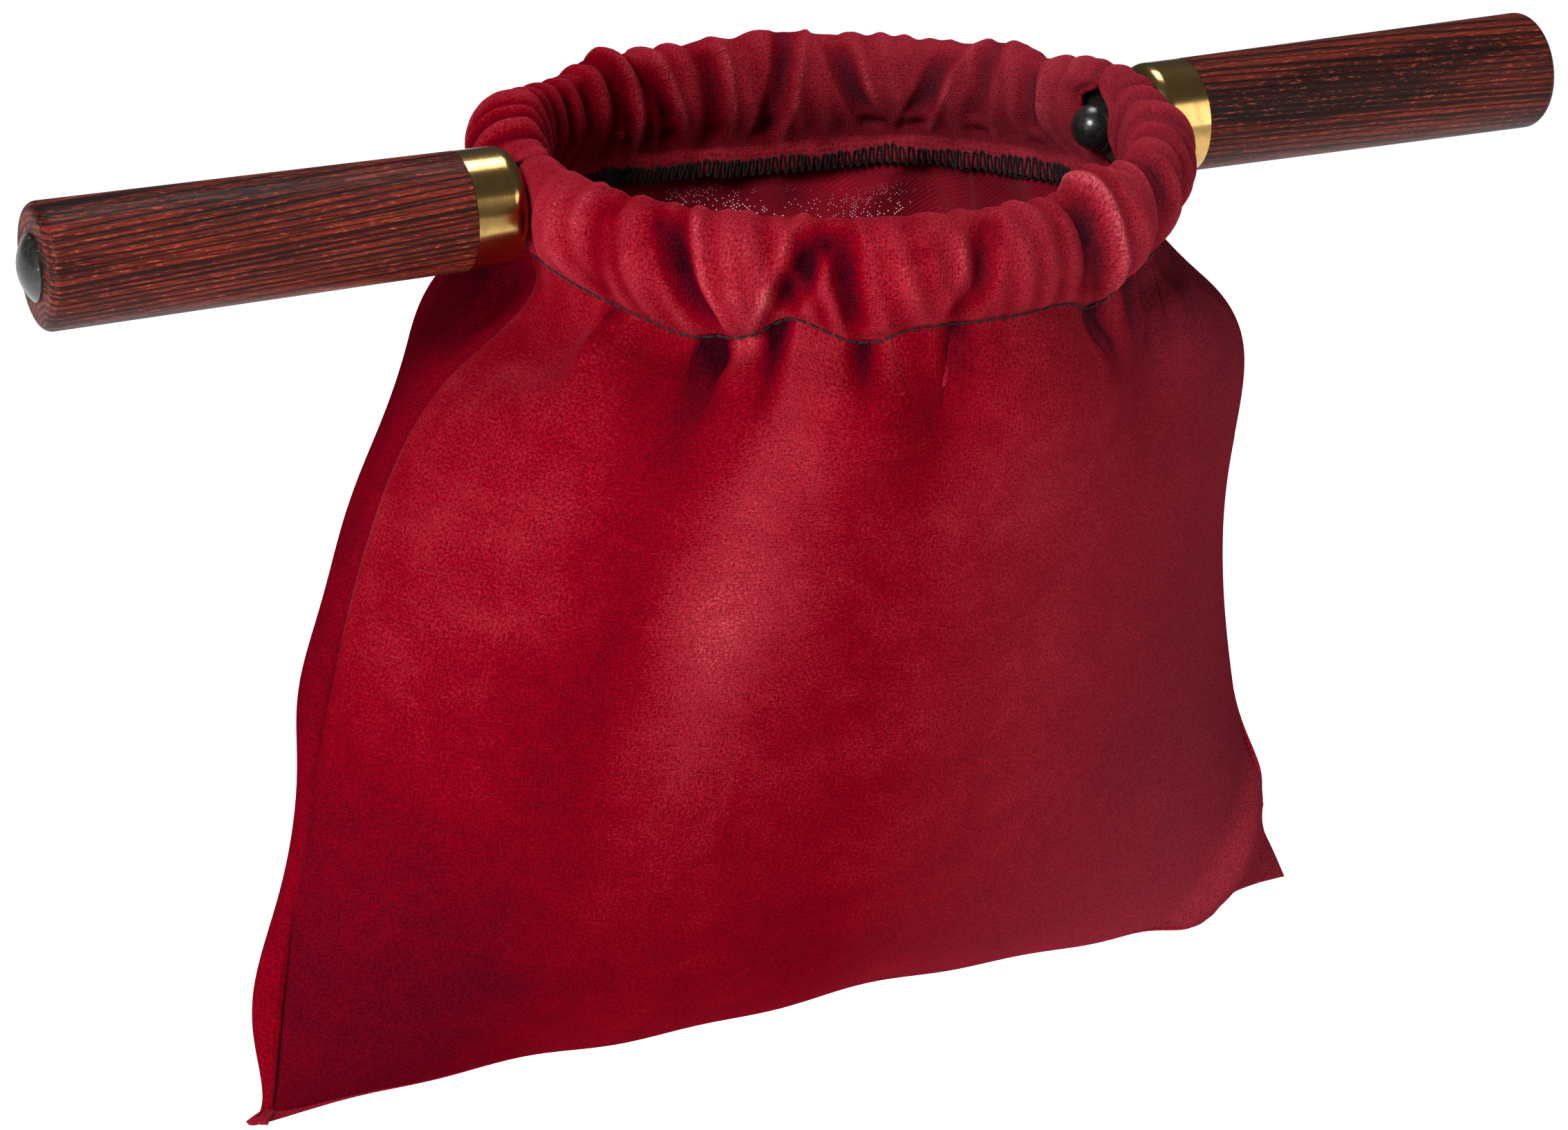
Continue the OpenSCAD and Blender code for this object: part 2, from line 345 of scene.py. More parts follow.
def normals(grid):
    """Unit normals of a grid of points, facing out of the bag on its wall."""
    across = np.gradient(grid, axis=1)
    up = np.gradient(grid, axis=0)
    n = np.cross(across, up)
    return n / np.maximum(np.linalg.norm(n, axis=2, keepdims=True), 1e-12)


def soft_normals(grid):
    """Normals averaged over the neighbourhood, so that an offset surface doesn't tangle in folds."""
    n = normals(grid)
    for _ in range(4):
        p = np.pad(n, ((1, 1), (1, 1), (0, 0)), mode="edge")
        n = (p[:-2, 1:-1] + p[2:, 1:-1] + p[1:-1, :-2] + p[1:-1, 2:] + 2 * n) / 6
    return n / np.maximum(np.linalg.norm(n, axis=2, keepdims=True), 1e-12)


def link(name, mesh, materials, body, replaced=()):
    for p in mesh.polygons:
        p.use_smooth = True
    piece = bpy.data.objects.new(name, mesh)
    bpy.context.scene.collection.objects.link(piece)
    for m in materials:
        mesh.materials.append(m)
    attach(piece, body)
    if replaced:
        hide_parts(*replaced)
    return piece


def cloth_piece(name, grid, flat_u, flat_v, thickness, materials, replaced):
    """A sheet of cloth through a grid of points, with its wrong side and raw edges."""
    rows, cols = grid.shape[:2]
    inner = grid - soft_normals(grid) * thickness
    both = np.concatenate([grid.reshape(-1, 3), inner.reshape(-1, 3)])
    n = rows * cols
    ids = np.arange(n).reshape(rows, cols)
    a, b, c, d = ids[:-1, :-1], ids[:-1, 1:], ids[1:, 1:], ids[1:, :-1]
    outer = np.stack([a, b, c, d], -1).reshape(-1, 4)
    back = np.stack([d, c, b, a], -1).reshape(-1, 4) + n
    rim = np.concatenate([ids[0], ids[1:, -1], ids[-1, ::-1][1:], ids[::-1, 0][1:]])
    edge = np.stack([rim[:-1] + n, rim[1:] + n, rim[1:], rim[:-1]], -1)
    faces = np.concatenate([outer, back, edge])
    mesh = bpy.data.meshes.new(name)
    mesh.from_pydata(both.tolist(), [], faces.tolist())
    across = np.broadcast_to(flat_u[None, :], (rows, cols))
    along = np.broadcast_to(flat_v[:, None], (rows, cols))
    uv = np.stack([across, along], -1)
    uv = np.tile(uv.reshape(-1, 2), (2, 1))
    layer = mesh.uv_layers.new(name="cut")
    layer.data.foreach_set("uv", uv[faces.ravel()].astype(np.float32).ravel())
    piece = link(name, mesh, materials, "bag", replaced)
    wrong_side = np.repeat((flat_v[:-1] < WALL - 4 * MM) | (flat_v[:-1] > flat_v[-1] - HEM), cols - 1)
    side = np.r_[np.zeros(len(outer)), wrong_side, np.ones(len(edge))].astype(np.int32)
    mesh.polygons.foreach_set("material_index", side)
    mesh.update()
    return piece


def set_attribute(piece, name, values):
    """Gives each of a piece's points a number that its material reads."""
    attribute = piece.data.attributes.new(name, "FLOAT", "POINT")
    attribute.data.foreach_set("value", values.astype(np.float32))


def tubes(name, paths, radius, material, replaced=(), sides=6, squash=1.0):
    """Round threads through lists of points, in one mesh."""
    points, faces = [], []
    for path in paths:
        p = np.array(path)
        t = np.gradient(p, axis=0)
        t /= np.maximum(np.linalg.norm(t, axis=1, keepdims=True), 1e-12)
        side = np.cross(t[0], (0.31, 0.22, 0.92))
        side /= np.linalg.norm(side)
        base = len(points)
        for k in range(len(p)):
            side = side - t[k] * np.dot(side, t[k])
            side /= np.linalg.norm(side)
            other = np.cross(t[k], side)
            end = 0.45 if k in (0, len(p) - 1) else 1.0
            for q in range(sides):
                a = 2 * math.pi * q / sides
                points.append(p[k] + radius * end * (math.cos(a) * side + squash * math.sin(a) * other))
        for k in range(len(p) - 1):
            for q in range(sides):
                r = (q + 1) % sides
                this, after = base + k * sides, base + (k + 1) * sides
                faces.append([this + q, this + r, after + r, after + q])
        last = base + (len(p) - 1) * sides
        faces.append([base + q for q in range(sides)][::-1])
        faces.append([last + q for q in range(sides)])
    mesh = bpy.data.meshes.new(name)
    mesh.from_pydata([tuple(v) for v in points], [], faces)
    return link(name, mesh, [material], "bag", replaced)


# ---------------------------------------------------------------- materials
def add(tree, kind, inputs=None, **settings):
    """A node with its settings, and its inputs given as numbers or as other nodes' sockets."""
    node = tree.nodes.new("ShaderNode" + kind)
    for key, value in settings.items():
        setattr(node, key, value)
    for key, value in (inputs or {}).items():
        if isinstance(value, bpy.types.NodeSocket):
            tree.links.new(value, node.inputs[key])
        else:
            node.inputs[key].default_value = value
    return node


def ramp(tree, factor, stops, smooth_steps=False):
    """A colour ramp through (position, colour or grey) stops."""
    node = add(tree, "ValToRGB", {"Fac": factor})
    if smooth_steps:
        node.color_ramp.interpolation = "EASE"
    band = node.color_ramp.elements
    while len(band) < len(stops):
        band.new(0.5)
    for element, (at, colour) in zip(band, stops):
        element.position = at
        element.color = (colour, colour, colour, 1) if isinstance(colour, (int, float)) else (*colour, 1)
    return node.outputs["Color"]


def mix(tree, factor, a, b, blend="MIX"):
    node = add(tree, "Mix", data_type="RGBA", blend_type=blend)
    for socket, value in ((node.inputs[0], factor), (node.inputs[6], a), (node.inputs[7], b)):
        if isinstance(value, bpy.types.NodeSocket):
            tree.links.new(value, socket)
        else:
            socket.default_value = value if isinstance(value, (int, float)) else (*value, 1)
    return node.outputs[2]


def maths(tree, operation, a, b=None, c=None, clamp=False):
    values = {i: v for i, v in enumerate((a, b, c)) if v is not None}
    return add(tree, "Math", values, operation=operation, use_clamp=clamp).outputs[0]


def grey(tree, value):
    """A grey colour from one number."""
    return add(tree, "CombineColor", {0: value, 1: value, 2: value}).outputs[0]


def noise(tree, where, scale, detail=2.0, roughness=0.5, distortion=0.0):
    inputs = {"Vector": where, "Scale": scale, "Detail": detail}
    inputs.update({"Roughness": roughness, "Distortion": distortion})
    return add(tree, "TexNoise", inputs).outputs["Fac"]


def stretched(tree, where, scale):
    return add(tree, "Mapping", {"Vector": where, "Scale": scale}).outputs["Vector"]


def bump(tree, height, distance, strength=1.0, below=None):
    inputs = {"Height": height, "Distance": distance, "Strength": strength}
    if below is not None:
        inputs["Normal"] = below
    return add(tree, "Bump", inputs).outputs["Normal"]


def material(name, **constants):
    """A material with a Principled shader whose constant sockets are set."""
    m = bpy.data.materials.new(name)
    m.use_nodes = True
    shader = m.node_tree.nodes["Principled BSDF"]
    for key, value in constants.items():
        shader.inputs[key.replace("_", " ")].default_value = value
    return m, m.node_tree, shader


def object_place(tree):
    return add(tree, "TexCoord").outputs["Object"]


def velvet():
    m, t, shader = material(
        "velvet_pile",
        Roughness=0.85,
        Sheen_Weight=0.22,
        Sheen_Roughness=0.28,
        Sheen_Tint=(1.0, 0.1, 0.17, 1),
        Specular_IOR_Level=0.0,
    )
    cut = add(t, "UVMap", uv_map="cut").outputs["UV"]
    where = object_place(t)
    dots = add(t, "TexVoronoi", {"Vector": cut, "Scale": 1250.0, "Randomness": 0.45}).outputs["Distance"]
    dark_dots = ramp(t, dots, [(0.12, 0.0), (0.5, 1.0)])
    fleck = noise(t, cut, 1500.0, 2.0, 0.7)
    cloud = noise(t, where, 26.0, 3.0, 0.55, 0.4)
    patch = noise(t, where, 85.0, 3.0, 0.6, 0.8)
    # The attribute holds the pile's lay, with painted shade in the folds and on the right third and painted
    # highlight on the ridges.
    nap_with_painted_light = add(t, "Attribute", attribute_name="nap_with_painted_light").outputs["Fac"]
    t.links.new(maths(t, "MULTIPLY_ADD", nap_with_painted_light, 0.7, -0.26, True), shader.inputs["Sheen Weight"])
    tone = maths(t, "MULTIPLY_ADD", cloud, 0.2, nap_with_painted_light)
    tone = maths(t, "MULTIPLY_ADD", patch, 0.22, tone)
    tone = maths(t, "MULTIPLY_ADD", fleck, 0.62, tone)
    tone = maths(t, "SUBTRACT", tone, 0.515)
    # The low stops give the painted shade of the fold valleys. The pinkish top stop gives painted highlight
    # on crests and on the fine pile flecks.
    stops = [
        (0.0, (0.018, 0.0008, 0.003)),
        (0.25, (0.058, 0.0008, 0.0045)),
        (0.5, (0.122, 0.0003, 0.004)),
        (0.74, (0.2, 0.011, 0.019)),
        (1.0, (0.44, 0.085, 0.1)),
    ]
    colour = ramp(t, tone, stops)
    # Painted sheen: towards the right side the colour is mixed into a greyish pink.
    across = add(t, "SeparateXYZ", {"Vector": where}).outputs["X"]
    painted_sheen_veil = ramp(t, maths(t, "MULTIPLY_ADD", across, 4.0, 0.5), [(0.45, 0.0), (0.85, 0.3)])
    colour = mix(t, painted_sheen_veil, colour, (0.21, 0.033, 0.05))
    depth = maths(t, "MULTIPLY_ADD", dark_dots, 0.42, 0.58)
    colour = mix(t, 1.0, colour, grey(t, depth), "MULTIPLY")
    t.links.new(colour, shader.inputs["Base Color"])
    height = maths(t, "MULTIPLY_ADD", dark_dots, 0.6, fleck)
    t.links.new(bump(t, height, 0.35 * MM, 0.7), shader.inputs["Normal"])
    return m


def velvet_back():
    m, t, shader = material(
        "velvet_knit_back",
        Roughness=0.9,
        Sheen_Weight=0.06,
        Sheen_Roughness=0.5,
        Sheen_Tint=(1.0, 0.3, 0.35, 1),
        Specular_IOR_Level=0.05,
    )
    cut = add(t, "UVMap", uv_map="cut").outputs["UV"]
    where = object_place(t)
    turn = {"Vector": cut, "Rotation": (0, 0, 0.6), "Scale": (1, 0.8, 1)}
    turned = add(t, "Mapping", turn).outputs["Vector"]
    cell = add(t, "TexVoronoi", {"Vector": turned, "Scale": 1150.0, "Randomness": 0.1})
    loop = ramp(t, cell.outputs["Distance"], [(0.1, 0.0), (0.55, 1.0)])
    tone = noise(t, where, 40.0, 3.0, 0.6)
    colour = ramp(t, tone, [(0.3, (0.12, 0.002, 0.009)), (0.7, (0.24, 0.004, 0.015))])
    shade = maths(t, "MULTIPLY_ADD", loop, 0.5, 0.5)
    colour = mix(t, 1.0, colour, grey(t, shade), "MULTIPLY")
    # Painted light: chosen pinholes of the knit glow with emission and turn whitish, as light shining through
    # the cloth. The worn noise and the attribute pick which ones.
    hole = ramp(t, cell.outputs["Distance"], [(0.13, 1.0), (0.2, 0.0)])
    chance = add(t, "SeparateColor", {0: cell.outputs["Color"]}).outputs[0]
    worn = noise(t, where, 55.0, 2.0, 0.5)
    chance = maths(t, "GREATER_THAN", maths(t, "MULTIPLY", chance, worn), 0.38)
    thin = add(t, "Attribute", attribute_name="thin").outputs["Fac"]
    glint = maths(t, "MULTIPLY", maths(t, "MULTIPLY", hole, chance), thin)
    t.links.new(mix(t, glint, colour, (0.9, 0.8, 0.78)), shader.inputs["Base Color"])
    shader.inputs["Emission Color"].default_value = (1.0, 0.93, 0.9, 1)
    t.links.new(maths(t, "MULTIPLY", glint, 1.3), shader.inputs["Emission Strength"])
    t.links.new(bump(t, loop, 0.25 * MM, 0.8), shader.inputs["Normal"])
    return m


def thread():
    m, t, shader = material("black_thread", Roughness=0.72, Sheen_Weight=0.04, Specular_IOR_Level=0.1)
    where = object_place(t)
    bands = {"Vector": where, "Scale": 900.0, "Distortion": 2.0}
    twist = add(t, "TexWave", bands, bands_direction="DIAGONAL").outputs["Fac"]
    lint = noise(t, where, 900.0, 3.0)
    shade = maths(t, "MULTIPLY_ADD", lint, 0.5, maths(t, "MULTIPLY", twist, 0.5))
    colour = ramp(t, shade, [(0.2, (0.003, 0.0025, 0.003)), (0.85, (0.016, 0.011, 0.012))])
    t.links.new(colour, shader.inputs["Base Color"])
    t.links.new(bump(t, twist, 0.12 * MM, 0.8), shader.inputs["Normal"])
    return m


def wood(name, pith, tilt, seed):
    """Dark stained wood with rings about a slanted pith line, pores along the grain and varnish."""
    m, t, shader = material(
        name, Roughness=0.45, Specular_IOR_Level=0.07, Coat_Weight=0.02, Coat_Roughness=0.3
    )
    where = object_place(t)
    moved = add(t, "Mapping", {"Vector": where, "Location": pith, "Rotation": tilt}).outputs["Vector"]
    wander = noise(t, stretched(t, where, (5, 60, 60)), 1.0, 3.0, 0.5)
    part = add(t, "SeparateXYZ", {"Vector": moved})
    squares = [maths(t, "POWER", part.outputs[axis], 2.0) for axis in "YZ"]
    radius = maths(t, "SQRT", maths(t, "ADD", *squares))
    radius = maths(t, "MULTIPLY_ADD", wander, 0.0024, radius)
    uneven = noise(t, add(t, "CombineXYZ", {0: radius, 1: seed}).outputs[0], 420.0, 3.0, 0.7)
    phase = maths(t, "FRACT", maths(t, "MULTIPLY_ADD", uneven, 2.2, maths(t, "MULTIPLY", radius, 1 / 0.0015)))
    streak = noise(t, stretched(t, where, (34, 1300, 1300)), 1.0, 5.0, 0.75)
    pores = noise(t, stretched(t, where, (70, 2400, 2400)), 1.0, 3.0, 0.7)
    specks = noise(t, stretched(t, where, (420, 1900, 1900)), 1.0, 3.0, 0.7)
    broad = noise(t, stretched(t, where, (8, 240, 240)), 1.0, 3.0, 0.6)
    strength = ramp(t, broad, [(0.34, 0.75), (0.6, 1.0)])
    late = maths(t, "MULTIPLY_ADD", streak, 0.3, maths(t, "SUBTRACT", phase, 0.15))
    late = ramp(t, late, [(0.35, 0.0), (0.55, 0.15), (0.7, 1.0), (1.0, 0.9)])
    late = maths(t, "MULTIPLY", late, strength)
    early = mix(t, ramp(t, streak, [(0.36, 0.0), (0.66, 1.0)]), (0.042, 0.005, 0.003), (0.16, 0.017, 0.008))
    patch = noise(t, stretched(t, where, (11, 75, 75)), 1.0, 2.0, 0.5)
    early = mix(t, ramp(t, patch, [(0.5, 0.0), (0.62, 0.9)]), early, (0.012, 0.0028, 0.0024))
    lit = maths(t, "MULTIPLY", ramp(t, specks, [(0.54, 0.0), (0.68, 0.8)]), maths(t, "SUBTRACT", 1.0, late))
    early = mix(t, lit, early, (0.35, 0.06, 0.03))
    colour = mix(t, late, early, (0.0065, 0.0025, 0.0025))
    pore_dark = ramp(t, pores, [(0.4, 1.0), (0.5, 0.0)])
    colour = mix(t, maths(t, "MULTIPLY", pore_dark, 0.7), colour, (0.008, 0.003, 0.003))
    t.links.new(colour, shader.inputs["Base Color"])
    groove = maths(t, "ADD", maths(t, "MULTIPLY", late, 0.8), pore_dark)
    groove = maths(t, "SUBTRACT", groove, maths(t, "MULTIPLY", lit, 0.5))
    t.links.new(bump(t, maths(t, "MULTIPLY", groove, -1.0), 0.2 * MM, 0.7), shader.inputs["Normal"])
    t.links.new(ramp(t, streak, [(0.3, 0.52), (0.8, 0.36)]), shader.inputs["Roughness"])
    return m


def brass():
    m, t, shader = material("drawn_brass", Metallic=1.0, Roughness=0.18)
    where = object_place(t)
    brushed = noise(t, stretched(t, where, (5200, 60, 60)), 1.0, 3.0, 0.6)
    tarnish = noise(t, where, 210.0, 4.0, 0.6, 0.6)
    colour = mix(t, ramp(t, tarnish, [(0.4, 0.0), (0.75, 1.0)]), (0.4, 0.25, 0.085), (0.26, 0.155, 0.05))
    t.links.new(colour, shader.inputs["Base Color"])
    rough = maths(t, "MULTIPLY_ADD", tarnish, 0.16, maths(t, "MULTIPLY_ADD", brushed, 0.08, 0.06))
    t.links.new(rough, shader.inputs["Roughness"])
    t.links.new(bump(t, brushed, 0.012 * MM, 0.5), shader.inputs["Normal"])
    return m


def black_steel():
    m, t, shader = material(
        "black_steel", Roughness=0.3, Specular_IOR_Level=0.35, Coat_Weight=0.15, Coat_Roughness=0.12
    )
    where = object_place(t)
    grain = noise(t, where, 900.0, 4.0, 0.6)
    chips = noise(t, where, 620.0, 2.0, 0.75)
    edge = add(t, "NewGeometry").outputs["Pointiness"]
    worn = maths(t, "MULTIPLY_ADD", maths(t, "SUBTRACT", edge, 0.5), 0.25, chips)
    bare = ramp(t, worn, [(0.745, 0.0), (0.765, 1.0)])
    colour = mix(t, ramp(t, grain, [(0.3, 0.0), (0.8, 1.0)]), (0.004, 0.004, 0.004), (0.016, 0.015, 0.014))
    t.links.new(mix(t, bare, colour, (0.5, 0.47, 0.42)), shader.inputs["Base Color"])
    t.links.new(bare, shader.inputs["Metallic"])
    t.links.new(ramp(t, grain, [(0.3, 0.22), (0.8, 0.42)]), shader.inputs["Roughness"])
    t.links.new(bump(t, maths(t, "SUBTRACT", grain, bare), 0.05 * MM, 0.5), shader.inputs["Normal"])
    return m


def dress(node, m):
    """Gives a CAD node its material."""
    node.data.materials.clear()
    node.data.materials.append(m)


# ---------------------------------------------------------------- camera, floor and light
def place_camera():
    yaw, pitch, roll = (math.radians(a) for a in (25.1, 22.4, 0.4))
    rz = Matrix.Rotation(yaw, 3, "Z")
    rx = Matrix.Rotation(pitch, 3, "X")
    ry = Matrix.Rotation(roll, 3, "Y")
    turn = ry @ rx @ rz
    origin = Vector((0.0114, 1.043, 0.0939))
    right, ahead, up = turn[0], turn[1], turn[2]
    at = -(turn.transposed() @ origin)
    data = bpy.data.cameras.new("camera")
    data.sensor_width = 36
    data.lens = 103
    camera = bpy.data.objects.new("camera", data)
    bpy.context.scene.collection.objects.link(camera)
    camera.matrix_world = Matrix(
        (
            (right.x, up.x, -ahead.x, at.x),
            (right.y, up.y, -ahead.y, at.y),
            (right.z, up.z, -ahead.z, at.z),
            (0, 0, 0, 1),
        )
    )
    bpy.context.scene.camera = camera


def area_light(name, at, size, power, colour=(1, 1, 1)):
    data = bpy.data.lights.new(name, "AREA")
    data.shape = "RECTANGLE"
    data.size, data.size_y = size
    data.energy = power
    data.color = colour
    light = bpy.data.objects.new(name, data)
    bpy.context.scene.collection.objects.link(light)
    light.location = at
    light.rotation_euler = (Vector((0, 0, -0.06)) - Vector(at)).to_track_quat("-Z", "Y").to_euler()


def studio():
    m, t, shader = material("pale_floor", Roughness=0.9, Specular_IOR_Level=0.1)
    speck = noise(t, object_place(t), 3.0, 3.0)
    t.links.new(ramp(t, speck, [(0.3, 0.93), (0.7, 0.95)]), shader.inputs["Base Color"])
    shader.inputs["Emission Color"].default_value = (1, 1, 1, 1)
    shader.inputs["Emission Strength"].default_value = 0.8
    mesh = bpy.data.meshes.new("floor")
    r = 40.0
    mesh.from_pydata([(-r, -r, -0.6), (r, -r, -0.6), (r, r, -0.6), (-r, r, -0.6)], [], [(0, 1, 2, 3)])
    mesh.materials.append(m)
    floor = bpy.data.objects.new("floor", mesh)
    bpy.context.scene.collection.objects.link(floor)
    world = bpy.data.worlds.new("soft_white")
    bpy.context.scene.world = world
    world.use_nodes = True
    t = world.node_tree
    background = t.nodes["Background"]
    background.inputs["Strength"].default_value = 0.14
    height = add(t, "SeparateXYZ", {"Vector": add(t, "TexCoord").outputs["Generated"]}).outputs["Z"]
    t.links.new(ramp(t, height, [(0.0, 0.55), (0.25, 0.6), (0.75, 1.0)]), background.inputs["Color"])
    area_light("key", (-1.0, -0.72, 0.85), (0.5, 0.5), 34)
    area_light("low", (-1.1, -0.55, -0.15), (0.6, 0.6), 11)
    area_light("fill", (0.75, -1.0, 0.3), (0.6, 0.9), 6)
    area_light("top", (0.15, 0.4, 1.1), (0.5, 0.5), 10)
    bpy.context.scene.view_settings.view_transform = "Standard"


# ---------------------------------------------------------------- the bag
def pile_and_painted_shade_of(flat_u, flat_v, front):
    """How light the pile is across a panel: lighter in a brushed lane, darker in a lane of brushed pile with
    painted fold shade, darker in the right third from brushing and painted shade, and darker towards the
    bottom and at the lower left.
    """
    u = flat_u[None, :] / PANEL_W
    v = flat_v[:, None] / WALL
    casing = smooth((v - 0.99) / 0.02)
    if not front:
        return (0.42 + 0.06 * np.sin(9 * u + 3 * v)) * (1 - casing) + 0.62 * casing
    # a dark lane: brushed pile, with painted shade of the folds below the casing
    lane = np.exp(-(((u - 0.21 - 0.05 * v) / 0.05) ** 2))
    lane = lane * smooth((1.0 - v) / 0.12) * smooth((v - 0.25) / 0.3)
    pale = np.exp(-(((u - 0.31 - 0.02 * v) / 0.045) ** 2)) * smooth((v - 0.35) / 0.3)
    bright = np.exp(-(((u - 0.44) / 0.05) ** 2)) * smooth((v - 0.3) / 0.3)
    # the right third darker: partly the pile's own colour, partly painted shade where the light falls off to
    # the right
    right_side = smooth((u - 0.62) / 0.22) * smooth((v - 0.12) / 0.3)
    left_side = smooth((0.3 - u) / 0.2) * smooth((0.7 - v) / 0.4)
    wall = 0.54 - 0.12 * lane + 0.15 * pale - 0.04 * bright - 0.14 * right_side
    wall = wall - 0.12 * smooth((0.6 - v) / 0.5) - 0.16 * left_side
    return wall * (1 - casing) + 0.62 * casing


def part_at_bolts(points, sign):
    """Opens the casing round each bolt, where the side seam is left unsewn."""
    for side in (-1, 1):
        x, y, z = points[..., 0], points[..., 1], points[..., 2]
        r = np.hypot(x, y)
        s = np.arctan2(y, side * x) * r
        reach = 16 * MM
        near = (side * x > 0) & (np.abs(s) < reach)
        inside = 6.9 * MM if sign > 0 else 9.5 * MM
        widest = np.where(r < HOOP_IN + MM, inside, 4.2 * MM)
        open_by = 0.4 * MM + widest * smooth((11.5 * MM - np.abs(z + 0.5 * MM)) / (5 * MM))
        moved = sign * (open_by + np.maximum(sign * s, 0) * (reach - open_by) / reach)
        angle = moved / np.maximum(r, 1e-6)
        px, py = side * r * np.cos(angle), r * np.sin(angle)
        points[..., 0] = np.where(near, px, points[..., 0])
        points[..., 1] = np.where(near, py, points[..., 1])
    return points


def waves(bumps, degrees):
    """The sum of rounded bumps round the hoop, in metres."""
    total = 0
    for at, spread, mm in bumps:
        away = (degrees - at + 180) % 360 - 180
        total = total + mm * MM * np.exp(-((away / spread) ** 2))
    return total


def all_folds():
    """The broad folds, a low ridge pushed up on both sides of each, and the close gathers."""
    folds = []
    for broad, profile, rim_lean in ((FRONT_FOLDS, FRONT_PROFILE, 1), (BACK_FOLDS, BACK_PROFILE, 0)):
        for place, lean, deep in broad:
            places = (place, place + rim_lean * lean, place + lean)
            depths = [deep * part for part in profile]
            folds.append((*places, *depths, FOLD_WIDTH))
            apart = 1.1 * math.degrees(FOLD_WIDTH * MM / WAIST_R)
            for side in (-1, 1):
                ridge = [at + side * apart for at in places]
                folds.append((*ridge, *[-0.35 * d for d in depths], 0.6 * FOLD_WIDTH))
    rng = np.random.default_rng(7)
    for start, stop, count in CLOSE_GATHERS:
        for place in np.linspace(start, stop, count):
            place = place + rng.uniform(-1.5, 1.5)
            folds.append((place, place + rng.uniform(0, 2), place, 2.7, 3.1, 2.3, 2.6))
    return folds


FOLDS = all_folds()


def fold_depth(degrees, level, below=0.0):
    """How deep the folds are (metres) at a level of the casing: 0 stitches, 1 rim, 2 inner stitches."""
    depth = np.zeros_like(degrees)
    for fold in FOLDS:
        place = np.interp(level, (0, 1, 2), fold[:3])
        deep = np.interp(level, (0, 1, 2), fold[3:6]) * math.exp(-below / (15 * MM))
        width = fold[6] * MM + 0.35 * below
        away = ((degrees - place + 180) % 360 - 180) * math.radians(1) * WAIST_R
        steep = 1 if fold[1] >= fold[0] else -1
        width = width * np.where(away * steep > 0, 1.15, 0.6)
        depth += deep * MM * np.exp(-((np.abs(away) / width) ** 1.2))
    return depth


def ruffle(degrees, along):
    """Small uneven waves of the gathered cloth, about -1 to 1."""
    rng = np.random.default_rng(21)
    wave = np.zeros_like(degrees)
    for _ in range(16):
        turns = rng.integers(16, 84)
        wave += np.sin(np.radians(degrees) * turns + rng.uniform(60, 420) * along + rng.uniform(0, 6.3))
    return wave / 4.5


def sewn_line(degrees):
    """Radius and height of the stitched line."""
    return WAIST_R - 0.35 * fold_depth(degrees, 0), STITCH_Z + waves(STITCH_WAVES, degrees)


def make_casing(degrees, count):
    """Rows of the gathered casing from the stitches over the rim and down inside, and its folds' depth."""
    r_sewn, z_sewn = sewn_line(degrees)
    rim = RIM_Z + waves(RIM_WAVES, degrees)
    puff = waves(PUFFS, degrees)
    turn = np.radians(degrees)
    widest = 0.55
    rows, deeps = [], []
    for i in range(1, count + 1):
        q = i / count
        outside = q <= 0.5
        p = min(q, 1 - q)
        edge = r_sewn - (0 if outside else LAYER_GAP)
        full = 81.4 * MM + puff if outside else (67.8 - 1.3 * np.sin(turn)) * MM - 0.4 * puff
        if p < 0.26:
            rise = widest * p / 0.26
            r = edge + (full - edge) * math.sin(math.pi / 2 * p / 0.26) ** 1.25
            out, up = smooth(p / 0.1), 0.0
        else:
            bend = math.pi / 2 * (p - 0.26) / 0.24
            rise = widest + (1 - widest) * math.sin(bend)
            out, up = math.cos(bend), math.sin(bend)
            r = HOOP_MID + (full - HOOP_MID) * out**0.85
        z = z_sewn + (rim - z_sewn) * rise
        free = np.hypot(r - np.clip(r, HOOP_IN, HOOP_OUT), z - np.clip(z, -HOOP_HALF, HOOP_HALF)) - 1.7 * MM
        if p < 0.26:
            free = np.minimum(free, 0.75 * np.abs(r - edge))
        free = np.maximum(free, 0.25 * MM)
        deep = free * np.tanh(fold_depth(degrees, 2 * q) / free) + 0.5 * MM * ruffle(degrees, q * 0.05)
        r = r - deep * out * (1 if outside else -1)
        z = z - deep * up
        rows.append(np.stack([r * np.cos(turn), r * np.sin(turn), z], 1))
        deeps.append(deep)
    return rows, deeps


def clear_of_ferrules(points):
    """Presses the casing flat against the ends of the ferrules."""
    x, y, z = points[..., 0], points[..., 1], points[..., 2]
    face = FERRULE_X - 0.4 * MM
    under = np.hypot(y, z) < 15.2 * MM
    points[..., 0] = np.where(under & (np.abs(x) > face), np.sign(x) * face, x)
    return points


def calm(tube):
    """Takes the small ripples out of the wall."""
    below = (ROW_STITCH - np.arange(len(tube))) * STEP
    weight = 0.18 + 0.42 * smooth((below - 0.004) / 0.05)
    weight[0] = weight[-1] = 0
    for step in range(60):
        mean = tube.copy()
        mean[1:-1] = (tube[:-2] + tube[2:]) / 2
        across = (np.roll(tube, 1, 1) + np.roll(tube, -1, 1)) / 2
        even_out = (mean + across) / 2
        even_out[:, 0], even_out[:, COLS] = mean[:, 0], mean[:, COLS]
        w = weight if step < 12 else weight * smooth((below - 0.02) / 0.05)
        tube = tube + (even_out - tube) * w[:, None, None]
    return tube


